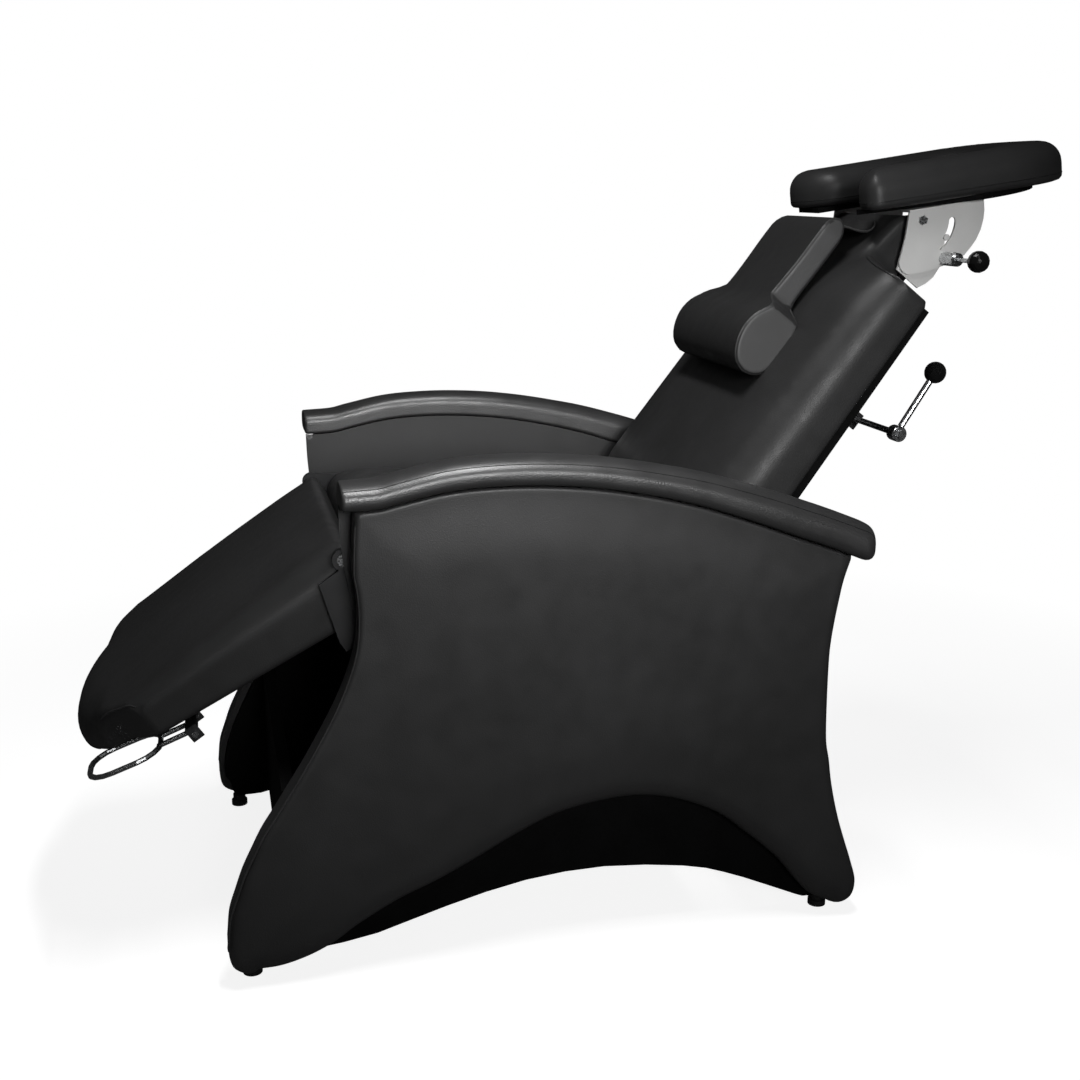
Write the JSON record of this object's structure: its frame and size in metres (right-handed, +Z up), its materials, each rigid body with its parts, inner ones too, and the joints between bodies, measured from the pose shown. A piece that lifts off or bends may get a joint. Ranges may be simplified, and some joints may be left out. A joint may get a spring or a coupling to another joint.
{
  "type": "tattoo chair",
  "caption": "Reclining treatment chair with a tilting back, lifting legrest, horseshoe face cradle and padded sides on levelling feet.",
  "frame": {"origin": "on the floor at the middle of the chair's bounding box, as it stands in the picture's pose", "axes": "+X to the sitter's left, +Y towards the head end, +Z up"},
  "size_m": [0.72, 1.5582, 1.1808],
  "materials": {
    "black_vinyl": "black upholstery vinyl over foam, fine grain and a soft sheen",
    "black_board": "plywood painted or laminated matt black",
    "black_steel": "black powder-coated steel",
    "white_steel": "light grey-white powder-coated steel plate",
    "bright_steel": "bright zinc or chrome plated steel",
    "knob_plastic": "glossy black phenolic plastic",
    "foot_plastic": "matt black nylon"
  },
  "bodies": {
    "chair_frame": {"side_board_left": "black_board", "side_board_right": "black_board", "side_panel_left": "black_vinyl", "side_panel_right": "black_vinyl", "arm_cap_left": "black_vinyl", "arm_cap_right": "black_vinyl", "front_cross_board": "black_board", "rear_cross_board": "black_board", "seat_board": "black_board", "seat_cushion": "black_vinyl", "seat_rail_left": "black_steel", "seat_rail_right": "black_steel", "back_hinge_pin_left": "bright_steel", "back_hinge_pin_right": "bright_steel", "legrest_hinge_pin_left": "bright_steel", "legrest_hinge_pin_right": "bright_steel", "back_spring_base": "black_steel", "legrest_spring_base": "black_steel"},
    "foot_front_left": {"levelling_foot_front_left": "foot_plastic"},
    "foot_front_right": {"levelling_foot_front_right": "foot_plastic"},
    "foot_rear_left": {"levelling_foot_rear_left": "foot_plastic"},
    "foot_rear_right": {"levelling_foot_rear_right": "foot_plastic"},
    "back": {"back_board": "black_board", "back_cushion": "black_vinyl", "back_arm_left": "black_steel", "back_arm_right": "black_steel", "neck_pillow": "black_vinyl", "pillow_flap": "black_vinyl", "back_spring_clevis": "black_steel", "release_bracket_left": "black_steel", "release_bracket_right": "black_steel", "release_link_guide": "black_steel", "headrest_fixed_plate_left": "white_steel", "headrest_fixed_plate_right": "white_steel", "headrest_pivot_bolt_left": "bright_steel", "headrest_pivot_bolt_right": "bright_steel"},
    "release_lever": {"release_shaft": "bright_steel", "release_hub": "bright_steel", "release_hub_bolt": "bright_steel", "release_lever_rod": "bright_steel", "release_ball_knob": "knob_plastic"},
    "release_link": {"release_link": "bright_steel"},
    "headrest": {"headrest_tilt_plate_left": "white_steel", "headrest_tilt_plate_right": "white_steel", "headrest_board": "black_board", "headrest_pad": "black_vinyl", "plunger_barrel": "bright_steel"},
    "headrest_plunger": {"plunger_rod": "bright_steel", "plunger_ball_knob": "knob_plastic"},
    "legrest": {"legrest_board": "black_board", "legrest_cushion": "black_vinyl", "legrest_arm_left": "black_steel", "legrest_arm_right": "black_steel", "legrest_spring_clevis": "black_steel", "legrest_release_bracket": "black_steel"},
    "legrest_release": {"legrest_release_loop": "bright_steel"},
    "back_spring_cylinder": {"back_spring_cylinder": "black_steel"},
    "back_spring_rod": {"back_spring_rod": "bright_steel"},
    "legrest_spring_cylinder": {"legrest_spring_cylinder": "black_steel"},
    "legrest_spring_rod": {"legrest_spring_rod": "bright_steel"}
  },
  "joints": [
    {"name": "back_recline", "type": "hinge", "parent": "chair_frame", "child": "back", "pos_m": [0, 0.13288, 0.553], "axis": [1, 0, 0], "range_deg": [-48, 18]},
    {"name": "legrest_lift", "type": "hinge", "parent": "chair_frame", "child": "legrest", "pos_m": [0, -0.38512, 0.6], "axis": [-1, 0, 0], "range_deg": [0, 34.5]},
    {"name": "headrest_tilt", "type": "hinge", "parent": "back", "child": "headrest", "pos_m": [0, 0.53294, 1.0488], "axis": [1, 0, 0], "range_deg": [-28, 9.5]},
    {"name": "plunger_pull", "type": "slide", "parent": "headrest", "child": "headrest_plunger", "axis": [1, 0, 0], "range_m": [0, 0.008], "stiffness_N_per_m": 600},
    {"name": "release_lever_pull", "type": "hinge", "parent": "back", "child": "release_lever", "pos_m": [0, 0.45876, 0.73621], "axis": [-1, 0, 0], "range_deg": [0, 25], "stiffness_Nm_per_rad": 6, "springref_deg": -20.05},
    {"name": "release_link_slide", "type": "slide", "parent": "back", "child": "release_link", "axis": [0, -0.6157, -0.788], "range_m": [-0.0002, 0.009]},
    {"name": "legrest_release_pull", "type": "hinge", "parent": "legrest", "child": "legrest_release", "pos_m": [0.227, -0.5975, 0.35817], "axis": [1, 0, 0], "range_deg": [0, 12], "stiffness_Nm_per_rad": 4, "springref_deg": -20.05},
    {"name": "back_spring_swing", "type": "hinge", "parent": "chair_frame", "child": "back_spring_cylinder", "pos_m": [0, 0.00488, 0.38], "axis": [1, 0, 0], "range_deg": [-14, 6]},
    {"name": "back_spring_stroke", "type": "slide", "parent": "back_spring_cylinder", "child": "back_spring_rod", "axis": [0, 0.8467, 0.5321], "range_m": [-0.079, 0.031]},
    {"name": "legrest_spring_swing", "type": "hinge", "parent": "chair_frame", "child": "legrest_spring_cylinder", "pos_m": [0, -0.26012, 0.43], "axis": [-1, 0, 0], "range_deg": [-0.5, 15.5]},
    {"name": "legrest_spring_stroke", "type": "slide", "parent": "legrest_spring_cylinder", "child": "legrest_spring_rod", "axis": [0, -0.9988, -0.0492], "range_m": [-0.001, 0.099]},
    {"name": "foot_front_left_turn", "type": "hinge", "parent": "chair_frame", "child": "foot_front_left", "pos_m": [0.296, -0.53712, 0.02], "axis": [0, 0, 1], "continuous": true},
    {"name": "foot_front_right_turn", "type": "hinge", "parent": "chair_frame", "child": "foot_front_right", "pos_m": [-0.296, -0.53712, 0.02], "axis": [0, 0, 1], "continuous": true},
    {"name": "foot_rear_left_turn", "type": "hinge", "parent": "chair_frame", "child": "foot_rear_left", "pos_m": [0.296, 0.33788, 0.02], "axis": [0, 0, 1], "continuous": true},
    {"name": "foot_rear_right_turn", "type": "hinge", "parent": "chair_frame", "child": "foot_rear_right", "pos_m": [-0.296, 0.33788, 0.02], "axis": [0, 0, 1], "continuous": true}
  ],
  "couplings": [
    {"joint": "release_link_slide", "follows": "release_lever_pull", "m_per_rad": 0.02},
    {"joint": "back_spring_swing", "follows": "back_recline", "ratio": 0.28},
    {"joint": "back_spring_stroke", "follows": "back_recline", "m_per_rad": 0.0925},
    {"joint": "legrest_spring_swing", "follows": "legrest_lift", "ratio": 0.43},
    {"joint": "legrest_spring_stroke", "follows": "legrest_lift", "m_per_rad": 0.1615}
  ]
}
